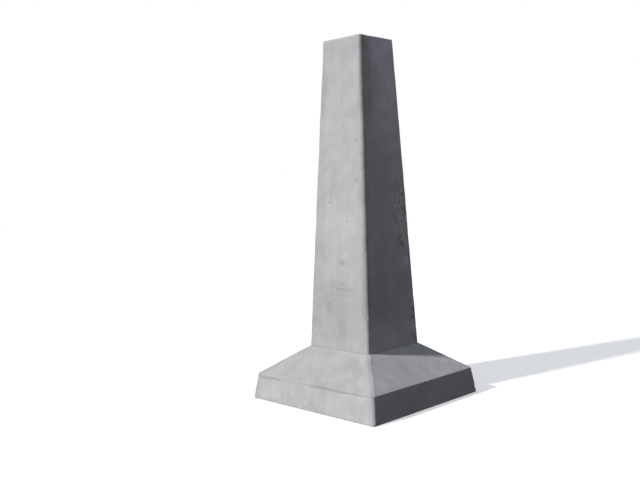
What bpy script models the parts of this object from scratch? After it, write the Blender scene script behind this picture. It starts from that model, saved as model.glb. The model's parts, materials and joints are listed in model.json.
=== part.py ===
"""Tapered precast concrete foundation pier with a pyramid foot.

The concrete is one casting. It holds a cage of steel bars on plastic spacers and an M16 socket,
which a push-in plug closes. Units are metres, +Z is up, and the origin is the middle of the soffit.
"""

from math import cos, pi, radians, sin

import bmesh
import bpy
import numpy as np
from mathutils import Matrix, Vector

# Concrete: widths are across the flats of the square plan.
HEIGHT = 0.900
BASE_WIDTH = 0.410
RIM_TOP_WIDTH = 0.391
RIM_HEIGHT = 0.064
SLOPE_HEIGHT = 0.068
SHAFT_FOOT_WIDTH = 0.199
SHAFT_HEAD_WIDTH = 0.127
ARRIS_RADIUS = 0.008
ARRIS_STEPS = 4
HEAD_CHAMFER = 0.003

GAP = 0.0003  # between a piece and the concrete or steel that it touches
BAR_ROOM_GAP = 0.0005  # round a bar, so that the rooms of two bars that touch run together
ROOM_OVERRUN = 0.0012  # of a room past the face that it opens through
COVER = 0.030  # concrete outside the outermost steel

# Steel cage
MAIN_BAR = 0.005  # radii of the bars
LINK_BAR = 0.003
MAT_BAR = 0.004
BAR_SIDES = 8  # of a bar's outline
LINK_SIDES = 6
BEND_CLEARANCE = 0.0005  # between a link and the main bar that it wraps
LINK_COUNT = 6
LOWEST_LINK_Z = 0.150
HIGHEST_LINK_Z = 0.860
LINK_RISE = 2 * LINK_BAR + GAP  # lets the two hooked ends pass each other
HOOK_ANGLE = radians(135)
HOOK_TAIL = 0.018
HOOK_STEPS = 5
CORNER_STEPS = 3
MAIN_BAR_TOP_Z = 0.873
MAIN_BEND_RADIUS = 0.025
BEND_STEPS = 5
LEG_LENGTH = 0.100
MAT_BAR_LENGTH = 0.350
MAT_BAR_OFFSETS = (-0.150, -0.050, 0.050, 0.150)
MAT_LOWER_Z = COVER + MAT_BAR
MAT_UPPER_Z = MAT_LOWER_Z + 2 * MAT_BAR + GAP
LEG_Z = MAT_UPPER_Z + MAT_BAR + MAIN_BAR + GAP

# Spacers
WHEEL_LINKS = (2, 5)
WHEEL_SKIN = 0.0015  # mortar left between the wheel and the face of the shaft
WHEEL_WIDTH = 0.006
WHEEL_RIM = 0.004
WHEEL_HUB = 0.003
WHEEL_MOUTH = 0.0052  # a little under the link bar's width, so that the wheel snaps on
WHEEL_STEPS = 20
HUB_STEPS = 10
WINDOW_STEPS = 5
WINDOW_HALF_ANGLE = radians(52)
CHAIR_FOOT_SPAN = 0.036
CHAIR_HEAD_SPAN = 0.020
CHAIR_FIN = 0.005
CHAIR_X = 0.115

# Socket, its anchor bar and its plug
RECESS_RADIUS = 0.015
RECESS_DEPTH = 0.004
SOCKET_RADIUS = 0.011
SOCKET_BORE_RADIUS = 0.007
SOCKET_LENGTH = 0.072
SOCKET_BORE_DEPTH = 0.046
BORE_CHAMFER = 0.001
CROSS_BAR = 0.004
CROSS_BAR_LENGTH = 0.080
CROSS_BAR_HEIGHT = 0.014  # above the socket's lower end
PLUG_CAP_RADIUS = 0.0145
PLUG_CAP_THICKNESS = 0.0034
PLUG_SHANK_RADIUS = 0.0055
PLUG_FIN_RADIUS = 0.0066
PLUG_SHANK_LENGTH = 0.015
PLUG_FINS = 2
PLUG_EDGE = 0.0005
SLOT_WIDTH = 0.003
SLOT_LENGTH = 0.018
SLOT_DEPTH = 0.0015
ROUND_STEPS = 24

SLOPE_TOP_Z = RIM_HEIGHT + SLOPE_HEIGHT
SHAFT_TAPER = (SHAFT_FOOT_WIDTH - SHAFT_HEAD_WIDTH) / 2 / (HEIGHT - SLOPE_TOP_Z)
SOCKET_TOP_Z = HEIGHT - RECESS_DEPTH
LINK_WRAP = MAIN_BAR + LINK_BAR + BEND_CLEARANCE
CORNERS = ((1, 1), (-1, 1), (-1, -1), (1, -1))


def clear_scene():
    for obj in list(bpy.data.objects):
        bpy.data.objects.remove(obj)


def material(name, colour, roughness, metallic=0.0):
    made = bpy.data.materials.new(name)
    made.use_nodes = True
    shader = made.node_tree.nodes["Principled BSDF"]
    shader.inputs["Base Color"].default_value = (*colour, 1.0)
    shader.inputs["Roughness"].default_value = roughness
    shader.inputs["Metallic"].default_value = metallic
    made.diffuse_color = (*colour, 1.0)
    return made


def add(name, data, finish):
    """An object of this mesh or curve, in the scene."""
    obj = bpy.data.objects.new(name, data)
    bpy.context.scene.collection.objects.link(obj)
    if finish:
        data.materials.append(finish)
    return obj


def mesh_from(name, bm):
    bmesh.ops.recalc_face_normals(bm, faces=bm.faces)
    mesh = bpy.data.meshes.new(name)
    bm.to_mesh(mesh)
    bm.free()
    return mesh


def hide_cutter(obj):
    obj.hide_render = True
    obj.display_type = "WIRE"


def subtract(obj, cutter):
    cut = obj.modifiers.new("cut_" + cutter.name, "BOOLEAN")
    cut.operation = "DIFFERENCE"
    cut.solver = "EXACT"
    cut.object = cutter


def smooth_round(mesh, angle=radians(40)):
    mesh.shade_smooth()
    mesh.set_sharp_from_angle(angle=angle)


def shaft_half_width(z):
    """Half the shaft's width at height z, continued down into the foot."""
    return SHAFT_HEAD_WIDTH / 2 + (HEIGHT - z) * SHAFT_TAPER


# Solids made of rings


def loft(name, rings):
    """A closed mesh through rings of equally many points, with flat ends."""
    bm = bmesh.new()
    loops = [[bm.verts.new(point) for point in ring] for ring in rings]
    for lower, upper in zip(loops, loops[1:]):
        for i in range(len(lower)):
            j = (i + 1) % len(lower)
            bm.faces.new((lower[i], lower[j], upper[j], upper[i]))
    bm.faces.new(loops[0])
    bm.faces.new(loops[-1])
    return mesh_from(name, bm)


def turned(name, profile, steps=ROUND_STEPS):
    """A solid turned about the Z axis from (radius, z) points, from one end of the axis to the other."""
    bm = bmesh.new()
    loops = []
    for radius, z in profile:
        count = steps if radius else 1
        angles = [2 * pi * i / steps for i in range(count)]
        loops.append([bm.verts.new((radius * cos(a), radius * sin(a), z)) for a in angles])
    for lower, upper in zip(loops, loops[1:]):
        for i in range(steps):
            j = (i + 1) % steps
            corners = [lower[i % len(lower)], lower[j % len(lower)]]
            corners += [upper[j % len(upper)], upper[i % len(upper)]]
            bm.faces.new(list(dict.fromkeys(corners)))
    return mesh_from(name, bm)


def circumscribed(radius, steps):
    """The radius whose polygon has its flats at the radius given."""
    return radius / cos(pi / steps)


# Bars


def swept(name, points, radius, sides):
    """A tube curve along the points, with closed ends."""
    curve = bpy.data.curves.new(name, "CURVE")
    curve.dimensions = "3D"
    curve.twist_mode = "MINIMUM"
    curve.bevel_depth = radius
    curve.bevel_resolution = (sides - 4) // 2
    curve.use_fill_caps = True
    curve.render_resolution_u = 0
    spline = curve.splines.new("POLY")
    spline.points.add(len(points) - 1)
    for place, point in zip(spline.points, points):
        place.co = (*point, 1.0)
    return curve


def tube_mesh(name, points, radius, sides):
    """The same tube as a closed mesh, which a Boolean can take."""
    guide = add(name + "_guide", swept(name, points, radius, sides), None)
    bm = bmesh.new()
    bm.from_mesh(guide.to_mesh())
    bpy.data.objects.remove(guide)
    bmesh.ops.remove_doubles(bm, verts=bm.verts, dist=1e-6)
    return mesh_from(name, bm)


def bar(name, points, radius, finish, rooms, sides=BAR_SIDES):
    """A round bar along the points. Its room is the hollow that the concrete leaves for it."""
    points = [Vector(point) for point in points]
    add(name, swept(name, points, radius, sides), finish)
    wide = circumscribed(radius + BAR_ROOM_GAP, sides)
    room = tube_mesh(name + "_room", lengthened(points, wide - radius), wide, sides)
    rooms.append(add(name + "_room", room, None))


def lengthened(points, extra):
    """The points with both ends moved outwards by extra."""
    first = points[0] + (points[0] - points[1]).normalized() * extra
    last = points[-1] + (points[-1] - points[-2]).normalized() * extra
    return [first, *points[1:-1], last]


def bend(corner, start, end, radius):
    """Points of a bend of this radius that turns at corner, from start towards end."""
    back = (start - corner).normalized()
    ahead = (end - corner).normalized()
    half = back.angle(ahead) / 2
    middle = corner + (back + ahead).normalized() * (radius / sin(half))
    tangent = radius * cos(half) / sin(half)
    first = (corner + back * tangent - middle).normalized()
    last = (corner + ahead * tangent - middle).normalized()
    return [middle + radius * first.slerp(last, i / BEND_STEPS) for i in range(BEND_STEPS + 1)]


def main_bar_place(z):
    """How far a main bar's centre is from each middle plane, at height z."""
    return shaft_half_width(z) - COVER - 2 * LINK_BAR - MAIN_BAR - BEND_CLEARANCE


def main_bars(finish, rooms):
    """Four corner bars that follow the taper, each bent out over the mat like a pinwheel's arm."""
    for number, (sx, sy) in enumerate(CORNERS, 1):
        head = main_bar_place(MAIN_BAR_TOP_Z)
        foot = main_bar_place(LEG_Z)
        top = Vector((sx * head, sy * head, MAIN_BAR_TOP_Z))
        corner = Vector((sx * foot, sy * foot, LEG_Z))
        outwards = Vector((sx, 0, 0)) if sx == sy else Vector((0, sy, 0))
        toe = corner + outwards * LEG_LENGTH
        points = [top, *bend(corner, top, toe, MAIN_BEND_RADIUS), toe]
        bar(f"main_bar_{number}", points, MAIN_BAR, finish, rooms)


def link_heights():
    return np.linspace(LOWEST_LINK_Z, HIGHEST_LINK_Z, LINK_COUNT)


def wrap(centre, start, sweep, steps):
    """Points of a link's bend round the main bar at centre."""
    angles = [start + sweep * i / steps for i in range(steps + 1)]
    return [(centre[0] + LINK_WRAP * cos(a), centre[1] + LINK_WRAP * sin(a)) for a in angles]


def link_outline(place):
    """A link's plan: a square round the four bars, whose ends hook round the first bar."""
    points = wrap((place, place), pi / 2 - HOOK_ANGLE, HOOK_ANGLE, HOOK_STEPS)
    for turn, (sx, sy) in enumerate(CORNERS[1:], 1):
        points += wrap((sx * place, sy * place), turn * pi / 2, pi / 2, CORNER_STEPS)
    points += wrap((place, place), 0.0, HOOK_ANGLE, HOOK_STEPS)
    tail = HOOK_TAIL * sin(pi / 4)
    first = (points[0][0] - tail, points[0][1] - tail)
    last = (points[-1][0] - tail, points[-1][1] - tail)
    return [first, *points, last]


def link_points(number, z):
    """A link rises by LINK_RISE between its hooks. Each one starts a corner further round."""
    plan = [Vector((x, y, 0)) for x, y in link_outline(main_bar_place(z))]
    steps = [(b - a).length for a, b in zip(plan, plan[1:])]
    run = np.concatenate([[0.0], np.cumsum(steps)])
    start, end = run[HOOK_STEPS + 1], run[-2 - HOOK_STEPS]
    rise = np.clip((run - start) / (end - start), 0, 1) - 0.5
    turned_plan = [Matrix.Rotation(number * pi / 2, 3, "Z") @ point for point in plan]
    return [point + Vector((0, 0, z + LINK_RISE * up)) for point, up in zip(turned_plan, rise)]


def link_mid_height(number, z, side):
    """The height of a link at the middle of the side that faces side * 90 degrees from +X."""
    straight = 2 * main_bar_place(z)
    corner = LINK_WRAP * pi / 2
    order = (side - 1 - number) % 4
    run = order * (straight + corner) + straight / 2
    return z + LINK_RISE * (run / (4 * straight + 3 * corner) - 0.5)


def links(finish, rooms):
    for number, z in enumerate(link_heights(), 1):
        bar(f"link_{number}", link_points(number, z), LINK_BAR, finish, rooms, LINK_SIDES)


def foot_mat(finish, rooms):
    """Two crossed layers of straight bars."""
    half = MAT_BAR_LENGTH / 2
    for number, place in enumerate(MAT_BAR_OFFSETS, 1):
        lower = [(-half, place, MAT_LOWER_Z), (half, place, MAT_LOWER_Z)]
        upper = [(place, -half, MAT_UPPER_Z), (place, half, MAT_UPPER_Z)]
        bar(f"mat_bar_lower_{number}", lower, MAT_BAR, finish, rooms)
        bar(f"mat_bar_upper_{number}", upper, MAT_BAR, finish, rooms)


# Spacers


def polar(radius, angles):
    return [(radius * cos(angle), radius * sin(angle)) for angle in angles]


def wheel_outline(radius, grown):
    """A disc with a hub hole and a mouth that opens at -X.

    Grown moves the outline outwards. The hub hole of a grown one stays within the link's own room.
    """
    hub = LINK_BAR if grown else circumscribed(LINK_BAR + 2 * GAP, HUB_STEPS)
    mouth = WHEEL_MOUTH / 2 - grown
    points = []
    for reach, steps, turn in ((radius + grown, WHEEL_STEPS, 1), (hub, HUB_STEPS, -1)):
        half = pi - np.arcsin(mouth / reach)
        points += polar(reach, np.linspace(-turn * half, turn * half, steps + 1))
    return points


def wheel_window(radius, middle, grown):
    """The opening between the hub, the rim and the spokes, centred on the angle middle."""
    inner = LINK_BAR + WHEEL_HUB + grown
    outer = radius - WHEEL_RIM - grown
    half = WINDOW_HALF_ANGLE - grown / inner
    angles = np.linspace(middle - half, middle + half, WINDOW_STEPS + 1)
    return polar(outer, angles) + polar(inner, angles[::-1])


def plate(name, outline, holes, thickness):
    """A flat plate of this outline and holes, with its middle on the plane z = 0."""
    bm = bmesh.new()
    edges = []
    for loop in (outline, *holes):
        verts = [bm.verts.new((x, y, -thickness / 2)) for x, y in loop]
        edges += [bm.edges.new((verts[i - 1], verts[i])) for i in range(len(verts))]
    bmesh.ops.triangle_fill(bm, use_beauty=True, edges=edges)
    made = bmesh.ops.extrude_face_region(bm, geom=bm.faces[:])
    raised = [item for item in made["geom"] if isinstance(item, bmesh.types.BMVert)]
    bmesh.ops.translate(bm, verts=raised, vec=(0, 0, thickness))
    return mesh_from(name, bm)


def wheel_mesh(name, radius, grown):
    windows = [wheel_window(radius, side * pi / 2, grown) for side in (1, -1)]
    return plate(name, wheel_outline(radius, grown), windows, WHEEL_WIDTH + 2 * grown)


def wheel_spacers(finish, rooms):
    """A wheel on each side of two of the links. The link runs through its hub."""
    heights = link_heights()
    for number in range(4 * len(WHEEL_LINKS)):
        link, side = WHEEL_LINKS[number // 4], number % 4
        z = heights[link - 1]
        reach = main_bar_place(z) + LINK_WRAP
        radius = shaft_half_width(z) - reach - WHEEL_SKIN
        angle = side * pi / 2
        place = (reach * cos(angle), reach * sin(angle), link_mid_height(link, z, side))
        name = f"wheel_spacer_{number + 1}"
        room = add(name + "_room", wheel_mesh(name + "_room", radius, GAP), None)
        rooms.append(room)
        for obj in (add(name, wheel_mesh(name, radius, 0.0), finish), room):
            obj.rotation_euler = (pi / 2, 0, angle)
            obj.location = place


def chair_mesh(name, grown):
    """Four upright fins in a cross, wider at the foot. A grown one runs out through the soffit."""
    fin = CHAIR_FIN / 2 + grown
    low = -ROOM_OVERRUN if grown else 0.0
    rings = []
    for span, z in ((CHAIR_FOOT_SPAN, low), (CHAIR_HEAD_SPAN, MAT_LOWER_Z + grown)):
        reach = span / 2 + grown
        quarter = (Vector((reach, -fin, z)), Vector((reach, fin, z)), Vector((fin, fin, z)))
        turns = [Matrix.Rotation(turn * pi / 2, 3, "Z") for turn in range(4)]
        rings.append([turn @ point for turn in turns for point in quarter])
    return loft(name, rings)


def saddle_cutter(y):
    """A rod with the room of the lower mat bar at y, which cuts the chairs' saddles."""
    sides = ROUND_STEPS // 2
    radius = circumscribed(MAT_BAR + GAP, sides)
    half = MAT_BAR_LENGTH / 2
    rod = turned("saddle_cutter", [(0, -half), (radius, -half), (radius, half), (0, half)], sides)
    cutter = add("saddle_cutter", rod, None)
    cutter.rotation_euler = (0, pi / 2, 0)
    cutter.location = (0, y, MAT_LOWER_Z)
    hide_cutter(cutter)
    return cutter


def mat_chairs(finish, rooms):
    """Two chairs under each outer bar of the mat's lower layer."""
    number = 0
    for y in (MAT_BAR_OFFSETS[0], MAT_BAR_OFFSETS[-1]):
        saddle = saddle_cutter(y)
        for x in (-CHAIR_X, CHAIR_X):
            number += 1
            name = f"mat_chair_{number}"
            chair = add(name, chair_mesh(name, 0.0), finish)
            chair.location = (x, y, 0)
            subtract(chair, saddle)
            room = add(name + "_room", chair_mesh(name + "_room", GAP), None)
            room.location = (x, y, 0)
            rooms.append(room)


# Socket and plug


def threaded_socket(finish, bar_finish, rooms):
    """A blind socket cast in under the head, with an anchor bar through its closed end."""
    low = SOCKET_TOP_Z - SOCKET_LENGTH
    bore_end = SOCKET_TOP_Z - SOCKET_BORE_DEPTH
    profile = [
        (0, low),
        (SOCKET_RADIUS, low),
        (SOCKET_RADIUS, SOCKET_TOP_Z),
        (SOCKET_BORE_RADIUS + BORE_CHAMFER, SOCKET_TOP_Z),
        (SOCKET_BORE_RADIUS, SOCKET_TOP_Z - BORE_CHAMFER),
        (SOCKET_BORE_RADIUS, bore_end),
        (0, bore_end),
    ]
    socket = add("threaded_socket", turned("threaded_socket", profile), finish)
    smooth_round(socket.data)
    half = CROSS_BAR_LENGTH / 2
    z = low + CROSS_BAR_HEIGHT
    bar("socket_cross_bar", [(-half, 0, z), (half, 0, z)], CROSS_BAR, bar_finish, rooms)
    subtract(socket, rooms[-1])
    outside = circumscribed(SOCKET_RADIUS + GAP, ROUND_STEPS)
    above = HEIGHT + ROOM_OVERRUN
    room_profile = [
        (0, low - GAP),
        (outside, low - GAP),
        (outside, SOCKET_TOP_Z),
        (RECESS_RADIUS, SOCKET_TOP_Z),
        (RECESS_RADIUS, above),
        (0, above),
    ]
    rooms.append(add("socket_room", turned("socket_room", room_profile), None))


def plug_profile():
    """From the shank's tip up to the cap. The fins grip the bore and slope towards the tip."""
    shank, fin = PLUG_SHANK_RADIUS, PLUG_FIN_RADIUS
    profile = [(0, -PLUG_SHANK_LENGTH), (shank - PLUG_EDGE, -PLUG_SHANK_LENGTH)]
    pitch = PLUG_SHANK_LENGTH / (PLUG_FINS + 1)
    for number in range(PLUG_FINS):
        z = -PLUG_SHANK_LENGTH + (number + 0.5) * pitch
        profile += [(shank, z), (fin, z + pitch / 2), (shank, z + pitch / 2 + PLUG_EDGE)]
    cap, top = PLUG_CAP_RADIUS, PLUG_CAP_THICKNESS
    return profile + [(shank, 0), (cap, 0), (cap, top - PLUG_EDGE), (cap - PLUG_EDGE, top), (0, top)]


def socket_plug(finish):
    """The push-in plug, whose origin is on its axis at the seat. A coin slot lifts it out."""
    plug = add("socket_plug", turned("socket_plug", plug_profile()), finish)
    plug.location = (0, 0, SOCKET_TOP_Z + GAP)
    smooth_round(plug.data)
    half = (SLOT_LENGTH / 2, SLOT_WIDTH / 2, SLOT_DEPTH)
    bm = bmesh.new()
    bmesh.ops.create_cube(bm, size=2.0, matrix=Matrix.Diagonal((*half, 1.0)))
    cutter = add("coin_slot_cutter", mesh_from("coin_slot_cutter", bm), None)
    cutter.location = (0, 0, SOCKET_TOP_Z + GAP + PLUG_CAP_THICKNESS)
    hide_cutter(cutter)
    subtract(plug, cutter)


# Concrete


def rounded_square(half, radius, z):
    """A ring round a square of this half width, with its corners rounded to the radius."""
    ring = []
    for turn, (sx, sy) in enumerate(CORNERS):
        centre = Vector((sx * (half - radius), sy * (half - radius), z))
        for i in range(ARRIS_STEPS + 1):
            angle = (turn + i / ARRIS_STEPS) * pi / 2
            ring.append(centre + radius * Vector((cos(angle), sin(angle), 0)))
    return ring


def concrete_pillar(finish, rooms):
    """The casting: rim, slope and shaft, less the room of every piece that it holds."""
    chamfer_z = HEIGHT - HEAD_CHAMFER
    levels = (
        (BASE_WIDTH / 2, ARRIS_RADIUS, 0.0),
        (RIM_TOP_WIDTH / 2, ARRIS_RADIUS, RIM_HEIGHT),
        (SHAFT_FOOT_WIDTH / 2, ARRIS_RADIUS, SLOPE_TOP_Z),
        (shaft_half_width(chamfer_z), ARRIS_RADIUS, chamfer_z),
        (shaft_half_width(chamfer_z) - HEAD_CHAMFER, ARRIS_RADIUS - HEAD_CHAMFER, HEIGHT),
    )
    rings = [rounded_square(*level) for level in levels]
    pillar = add("concrete_pillar", loft("concrete_pillar", rings), finish)
    held = bpy.data.collections.new("rooms")
    bpy.context.scene.collection.children.link(held)
    held.hide_render = True
    for room in rooms:
        bpy.context.scene.collection.objects.unlink(room)
        held.objects.link(room)
        hide_cutter(room)
    cut = pillar.modifiers.new("rooms", "BOOLEAN")
    cut.operation = "DIFFERENCE"
    cut.solver = "EXACT"
    cut.operand_type = "COLLECTION"
    cut.collection = held


def main():
    clear_scene()
    concrete = material("concrete", (0.46, 0.455, 0.465), 0.85)
    rebar = material("rebar_steel", (0.20, 0.12, 0.08), 0.7, 0.7)
    zinc = material("zinc_plated_steel", (0.62, 0.62, 0.60), 0.35, 1.0)
    spacer_plastic = material("spacer_plastic", (0.30, 0.31, 0.33), 0.6)
    plug_plastic = material("plug_plastic", (0.06, 0.06, 0.065), 0.5)
    rooms = []
    foot_mat(rebar, rooms)
    main_bars(rebar, rooms)
    links(rebar, rooms)
    wheel_spacers(spacer_plastic, rooms)
    mat_chairs(spacer_plastic, rooms)
    threaded_socket(zinc, rebar, rooms)
    socket_plug(plug_plastic)
    concrete_pillar(concrete, rooms)


main()
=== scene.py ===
"""Looks of a tapered precast concrete pier: worn concrete, its plug, socket, cage and spacers."""

import json
import random
from math import cos, pi, radians, sin

import bmesh
import bpy
import numpy as np
from mathutils import Matrix, Vector, noise


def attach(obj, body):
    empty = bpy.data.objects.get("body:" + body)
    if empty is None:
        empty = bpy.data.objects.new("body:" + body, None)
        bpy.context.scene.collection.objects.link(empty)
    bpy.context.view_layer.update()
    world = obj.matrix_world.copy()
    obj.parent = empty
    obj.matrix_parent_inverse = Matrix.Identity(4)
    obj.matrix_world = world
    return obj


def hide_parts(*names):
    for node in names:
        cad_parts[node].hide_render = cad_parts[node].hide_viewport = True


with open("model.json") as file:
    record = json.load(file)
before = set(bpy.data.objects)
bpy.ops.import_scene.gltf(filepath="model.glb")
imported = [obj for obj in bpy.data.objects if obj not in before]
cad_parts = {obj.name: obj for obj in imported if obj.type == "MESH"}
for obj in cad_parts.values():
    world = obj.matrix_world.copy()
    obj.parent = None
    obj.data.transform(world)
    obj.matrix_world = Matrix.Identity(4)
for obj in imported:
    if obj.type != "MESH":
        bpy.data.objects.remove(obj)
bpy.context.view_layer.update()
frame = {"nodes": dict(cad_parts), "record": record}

# The concrete's skin repeats the part's own sizes, in metres.
BASE_HALF = 0.205
RIM_TOP_HALF = 0.1955
SHAFT_FOOT_HALF = 0.0995
SHAFT_HEAD_HALF = 0.0635
RIM_HEIGHT = 0.064
SLOPE_TOP_Z = 0.132
HEIGHT = 0.900
ARRIS_RADIUS = 0.008
RECESS_RADIUS = 0.015
RECESS_DEPTH = 0.004
SOCKET_HOLE_RADIUS = 0.0114
SOCKET_HOLE_END = 0.8237

SOCKET_TOP_Z = HEIGHT - RECESS_DEPTH
SOCKET_END_Z = 0.824
SOCKET_RADIUS = 0.011
SOCKET_CHAMFER = 0.0005
BORE_END_Z = 0.850
DRILL_TIP = 0.0002  # radius of the flat at the bore's end
THREAD_PITCH = 0.002  # M16
THREAD_CREST_RADIUS = 0.00692
THREAD_ROOT_RADIUS = 0.008
THREAD_SHAPE = ((0.0, 0), (0.25, 0), (0.5625, 1), (0.6875, 1))  # (share of the pitch, 1 at the root)
RIB_PITCH = 0.006  # of the reinforcing bars
BAR_HOLE_RADIUS = 0.0045
BAR_HOLE_Z = 0.838
BAR_HOLE_STEPS = 24

PLUG_SEAT_Z = SOCKET_TOP_Z + 0.0003
PLUG_CAP_RADIUS = 0.0145
PLUG_CAP_THICKNESS = 0.0034
PLUG_CAP_CROWN = 0.0004  # how much lower the cap's edge is than its middle
PLUG_EDGE_ROUNDING = 0.0009
PLUG_SHANK_RADIUS = 0.0055
PLUG_SHANK_LENGTH = 0.015
PLUG_FIN_RADIUS = 0.0066
PLUG_FINS = 2
PLUG_LIP = 0.0004  # the plug's smallest steps, and its small edge roundings
PLUG_BEAD = 0.0010
SLOT_LENGTH = 0.018
SLOT_WIDTH = 0.003
SLOT_DEPTH = 0.0015
SLOT_EDGE = 0.0003
SLOT_STEPS = 16  # along each end and each side of the slot
TURNED_STEPS = 4 * SLOT_STEPS
TURNED_SHARP = radians(35)  # edges of the socket and plug that turn more than this stay sharp

SOLE_ROUNDING = 0.0015  # of the soffit's edge
CREASE_ROUNDING = 0.0030  # between the rim and the slope
HEAD_ROUNDING = 0.0032
JOINT_HALF_WIDTH = 0.0013  # of the groove where the slope meets the shaft
JOINT_DEPTH = 0.0002

# Grid of the skin. The foot has FINER columns for each column of the shaft.
FLAT_COLUMNS = 48
ARC_COLUMNS = 6
FINER = 2
SHAFT_ROWS = 190
SLOPE_ROWS = 34
RIM_ROWS = 15
SEAM_ROWS = 10  # in the band under the rim's upper edge
SOFFIT_ROWS = 12
SOFFIT_CORE = 0.04  # size of the soffit's innermost ring, as a share of the whole
HEAD_ROWS = 16
HOLE_ROWS = 6
GRADING = 0.35  # how much closer together the columns are near the arrises
CONCRETE_SHARP = radians(50)  # edges of the concrete that turn more than this stay sharp
ON_FACE = 1e-4  # a point this near to the level of the soffit or the head lies on it

# Wear, and painted light and shade
PORES = 420
PORES_ON_FOOT = 1.6  # how readily a face there gets a pore
PORES_ON_SHAFT = 0.9
PORE_CROWDS = 16  # crowds of pores are about 1 / PORE_CROWDS metres wide
PORE_FREE_SOLE = 0.003  # how near a pore may come to each kind of edge
PORE_FREE_HEAD = 0.006
PORE_FREE_ARRIS = 0.012
PORE_FREE_CREASE = 0.006
PORE_FREE_JOINT = 0.005
CHIP_DEPTH = 0.3  # of a chip's radius
BROKEN_DEPTH = 0.0012  # a chip this deep shows fresh concrete
WARP_DEPTH = 0.0007  # of the form, in broad waves
UNEVEN_DEPTH = 0.0002
RUBBED_DEPTH = 0.0007
RUBBED_ARRIS = 0.007  # how far from an arris, and from the head and sole, the skin is rubbed
RUBBED_END = 0.004
PITTED_DEPTH = 0.0006
TROWEL_DEPTH = 0.0009  # of the marks on the head
SOFFIT_LIFT = 0.0003  # the most that the soffit rises, which leaves the chairs' feet just proud
SEAM_BAND = 0.012  # height of the band under the rim's upper edge where the form's seam wanders
SEAM_Z = 0.0560  # mean height of the seam
SEAM_RISE = 0.0062  # from the middle of the pier to one of its corners
SEAM_WAVER = 0.0045
SEAM_HALF_WIDTH = 0.0026
SEAM_DEPTH = 0.0008
SEAM_OPEN = (  # middle and reach of the stretches where the seam shows most
    ((-0.200, -0.085, 0.060), (0.04, 0.125, 0.03)),
    ((-0.200, 0.142, 0.060), (0.04, 0.045, 0.03)),
    ((0.060, 0.200, 0.058), (0.14, 0.040, 0.03)),
    ((0.200, 0.040, 0.054), (0.04, 0.110, 0.03)),
)
DENTS = (  # middle, radius and depth
    ((-0.0897, -0.012, 0.341), 0.0085, 0.0015),
    ((-0.0755, -0.056, 0.645), 0.0045, 0.0012),
    ((-0.0799, -0.058, 0.550), 0.0045, 0.0012),
    ((-0.0945, 0.030, 0.241), 0.0090, 0.0010),
    ((0.030, -0.0850, 0.500), 0.0050, 0.0012),
    ((0.0840, 0.025, 0.460), 0.0070, 0.0016),
    ((-0.020, 0.0935, 0.270), 0.0060, 0.0016),
)
PITTED = (  # middle and reach of the patches where the form tore the skin
    ((-0.085, 0.035, 0.500), (0.04, 0.045, 0.020)),
    ((-0.080, 0.050, 0.620), (0.04, 0.022, 0.024)),
    ((-0.065, 0.045, 0.880), (0.03, 0.020, 0.024)),
    ((-0.095, -0.012, 0.338), (0.04, 0.018, 0.014)),
    ((-0.095, -0.012, 0.280), (0.04, 0.024, 0.022)),
    ((-0.100, 0.085, 0.170), (0.03, 0.016, 0.034)),
    ((-0.205, 0.010, 0.014), (0.03, 0.085, 0.018)),
    ((0.072, -0.086, 0.460), (0.024, 0.03, 0.150)),
    ((0.010, -0.065, 0.835), (0.020, 0.03, 0.030)),
    ((0.120, -0.160, 0.085), (0.060, 0.05, 0.030)),
)
FLECKED = (  # middle and reach of the patches with pale flecks of paste
    ((0.062, -0.086, 0.455), (0.038, 0.03, 0.130)),
    ((0.064, -0.088, 0.370), (0.040, 0.03, 0.042)),
    ((0.084, -0.095, 0.200), (0.022, 0.03, 0.070)),
    ((0.060, 0.088, 0.350), (0.040, 0.03, 0.070)),
    ((0.082, -0.020, 0.560), (0.030, 0.05, 0.060)),
)
STAINS_AND_PAINTED_SHADOW = (  # middle, reach and strength of the marks where water and form oil ran, and of one painted shadow
    ((-0.098, 0.014, 0.210), (0.05, 0.090, 0.115), 0.52),
    ((-0.0945, 0.030, 0.239), (0.03, 0.018, 0.028), 0.95),
    ((-0.097, -0.013, 0.192), (0.03, 0.020, 0.038), 0.95),
    # painted shadow on the upper wall of the dent at 0.341
    ((-0.0893, -0.013, 0.348), (0.03, 0.015, 0.009), 0.45),
    ((-0.0755, -0.056, 0.645), (0.02, 0.007, 0.009), 0.90),
    ((-0.0799, -0.058, 0.550), (0.02, 0.008, 0.010), 0.80),
    ((0.095, -0.095, 0.150), (0.03, 0.030, 0.028), 0.90),
)
BLOOM_MIDDLE = (0.075, -0.063, 0.900)  # pale lime, up one arris
BLOOM_REACH = (0.110, 0.060, 0.380)
RIPPLED = ((-0.093, -0.014, 0.279), (0.03, 0.036, 0.034))  # where the form's lining sagged
RIPPLE_PITCH = 0.014
RIPPLE_DEPTH = 0.0007
RIPPLE_STAIN = 0.9  # strength of the stain on the ripples
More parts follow.
